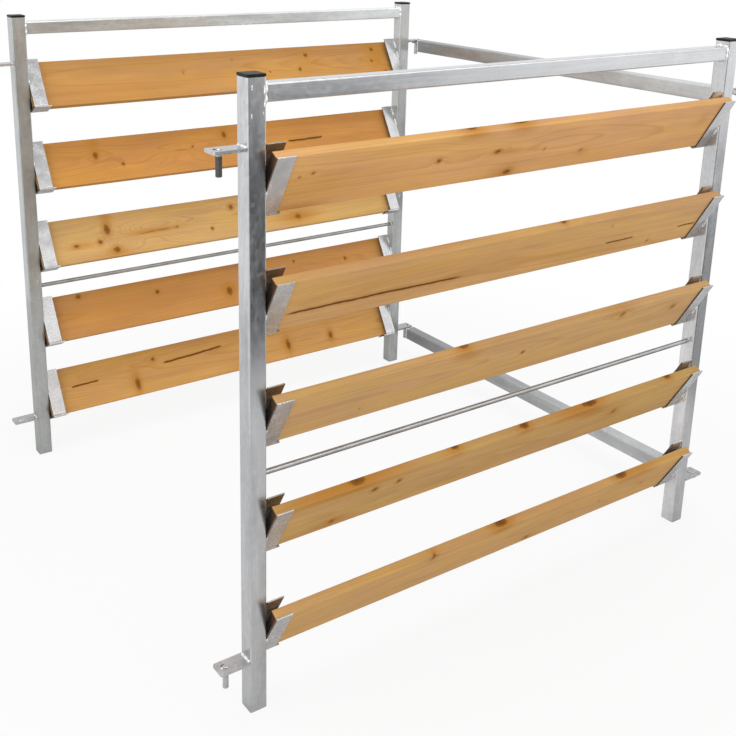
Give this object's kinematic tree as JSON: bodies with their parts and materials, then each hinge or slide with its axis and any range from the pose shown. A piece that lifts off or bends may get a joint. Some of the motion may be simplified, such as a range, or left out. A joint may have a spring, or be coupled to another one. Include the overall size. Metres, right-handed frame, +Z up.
{
  "type": "hay rack feeder",
  "caption": "Two slatted steel and larch panels, joined by two swinging side rails, that stand round hay while animals feed through the slots.",
  "frame": {"origin": "centre of the bounding box on the ground", "axes": "+X along the panels towards the side rails, +Y from the front panel to the rear panel, +Z up"},
  "size_m": [1.536, 1.438, 1.3463],
  "materials": {
    "galvanised_steel": "hot-dip galvanised tube, satin with faint spangle",
    "galvanised_plate": "hot-dip galvanised sheet and plate, dull satin",
    "larch": "planed larch with knots, untreated",
    "black_plastic": "moulded plastic, matte"
  },
  "bodies": {
    "front_panel": {"front_left_cap": "black_plastic", "front_left_holder_1": "galvanised_plate", "front_left_holder_2": "galvanised_plate", "front_left_holder_3": "galvanised_plate", "front_left_holder_4": "galvanised_plate", "front_left_holder_5": "galvanised_plate", "front_left_lower_lug": "galvanised_plate", "front_left_post": "galvanised_steel", "front_left_upper_lug": "galvanised_plate", "front_right_cap": "black_plastic", "front_right_holder_1": "galvanised_plate", "front_right_holder_2": "galvanised_plate", "front_right_holder_3": "galvanised_plate", "front_right_holder_4": "galvanised_plate", "front_right_holder_5": "galvanised_plate", "front_right_lower_lug": "galvanised_plate", "front_right_post": "galvanised_steel", "front_right_upper_lug": "galvanised_plate", "front_tie_rod": "galvanised_steel", "front_top_rail": "galvanised_steel"},
    "front_board_1": {"front_board_1": "larch"},
    "front_board_2": {"front_board_2": "larch"},
    "front_board_3": {"front_board_3": "larch"},
    "front_board_4": {"front_board_4": "larch"},
    "front_board_5": {"front_board_5": "larch"},
    "upper_side_rail": {"upper_front_tongue": "galvanised_plate", "upper_rear_tongue": "galvanised_plate", "upper_rivet": "galvanised_plate", "upper_side_rail": "galvanised_steel"},
    "lower_side_rail": {"lower_front_tongue": "galvanised_plate", "lower_rear_tongue": "galvanised_plate", "lower_rivet": "galvanised_plate", "lower_side_rail": "galvanised_steel"},
    "rear_panel": {"rear_left_cap": "black_plastic", "rear_left_holder_1": "galvanised_plate", "rear_left_holder_2": "galvanised_plate", "rear_left_holder_3": "galvanised_plate", "rear_left_holder_4": "galvanised_plate", "rear_left_holder_5": "galvanised_plate", "rear_left_lower_lug": "galvanised_plate", "rear_left_post": "galvanised_steel", "rear_left_upper_lug": "galvanised_plate", "rear_right_cap": "black_plastic", "rear_right_holder_1": "galvanised_plate", "rear_right_holder_2": "galvanised_plate", "rear_right_holder_3": "galvanised_plate", "rear_right_holder_4": "galvanised_plate", "rear_right_holder_5": "galvanised_plate", "rear_right_lower_lug": "galvanised_plate", "rear_right_post": "galvanised_steel", "rear_right_upper_lug": "galvanised_plate", "rear_tie_rod": "galvanised_steel", "rear_top_rail": "galvanised_steel"},
    "rear_board_1": {"rear_board_1": "larch"},
    "rear_board_2": {"rear_board_2": "larch"},
    "rear_board_3": {"rear_board_3": "larch"},
    "rear_board_4": {"rear_board_4": "larch"},
    "rear_board_5": {"rear_board_5": "larch"}
  },
  "joints": [
    {"name": "upper_rail_swing", "type": "hinge", "parent": "front_panel", "child": "upper_side_rail", "pos_m": [0.748, -0.66, 1.194], "axis": [0, 0, -1], "range_deg": [-20, 90]},
    {"name": "lower_rail_swing", "type": "hinge", "parent": "front_panel", "child": "lower_side_rail", "pos_m": [0.748, -0.66, 0.105], "axis": [0, 0, -1], "range_deg": [-20, 90]},
    {"name": "rear_panel_swing", "type": "hinge", "parent": "upper_side_rail", "child": "rear_panel", "pos_m": [0.748, 0.66, 1.194], "axis": [0, 0, -1], "range_deg": [-20, 90]},
    {"name": "front_board_1_lift", "type": "slide", "parent": "front_panel", "child": "front_board_1", "axis": [0, -0.5, 0.866], "range_m": [0, 0.14]},
    {"name": "front_board_2_lift", "type": "slide", "parent": "front_panel", "child": "front_board_2", "axis": [0, -0.5, 0.866], "range_m": [0, 0.14]},
    {"name": "front_board_3_lift", "type": "slide", "parent": "front_panel", "child": "front_board_3", "axis": [0, -0.5, 0.866], "range_m": [0, 0.14]},
    {"name": "front_board_4_lift", "type": "slide", "parent": "front_panel", "child": "front_board_4", "axis": [0, -0.5, 0.866], "range_m": [0, 0.14]},
    {"name": "front_board_5_lift", "type": "slide", "parent": "front_panel", "child": "front_board_5", "axis": [0, -0.5, 0.866], "range_m": [0, 0.14]},
    {"name": "rear_board_1_lift", "type": "slide", "parent": "rear_panel", "child": "rear_board_1", "axis": [0, 0.5, 0.866], "range_m": [0, 0.14]},
    {"name": "rear_board_2_lift", "type": "slide", "parent": "rear_panel", "child": "rear_board_2", "axis": [0, 0.5, 0.866], "range_m": [0, 0.14]},
    {"name": "rear_board_3_lift", "type": "slide", "parent": "rear_panel", "child": "rear_board_3", "axis": [0, 0.5, 0.866], "range_m": [0, 0.14]},
    {"name": "rear_board_4_lift", "type": "slide", "parent": "rear_panel", "child": "rear_board_4", "axis": [0, 0.5, 0.866], "range_m": [0, 0.14]},
    {"name": "rear_board_5_lift", "type": "slide", "parent": "rear_panel", "child": "rear_board_5", "axis": [0, 0.5, 0.866], "range_m": [0, 0.14]}
  ],
  "couplings": [
    {"joint": "lower_rail_swing", "follows": "upper_rail_swing", "ratio": 1}
  ]
}
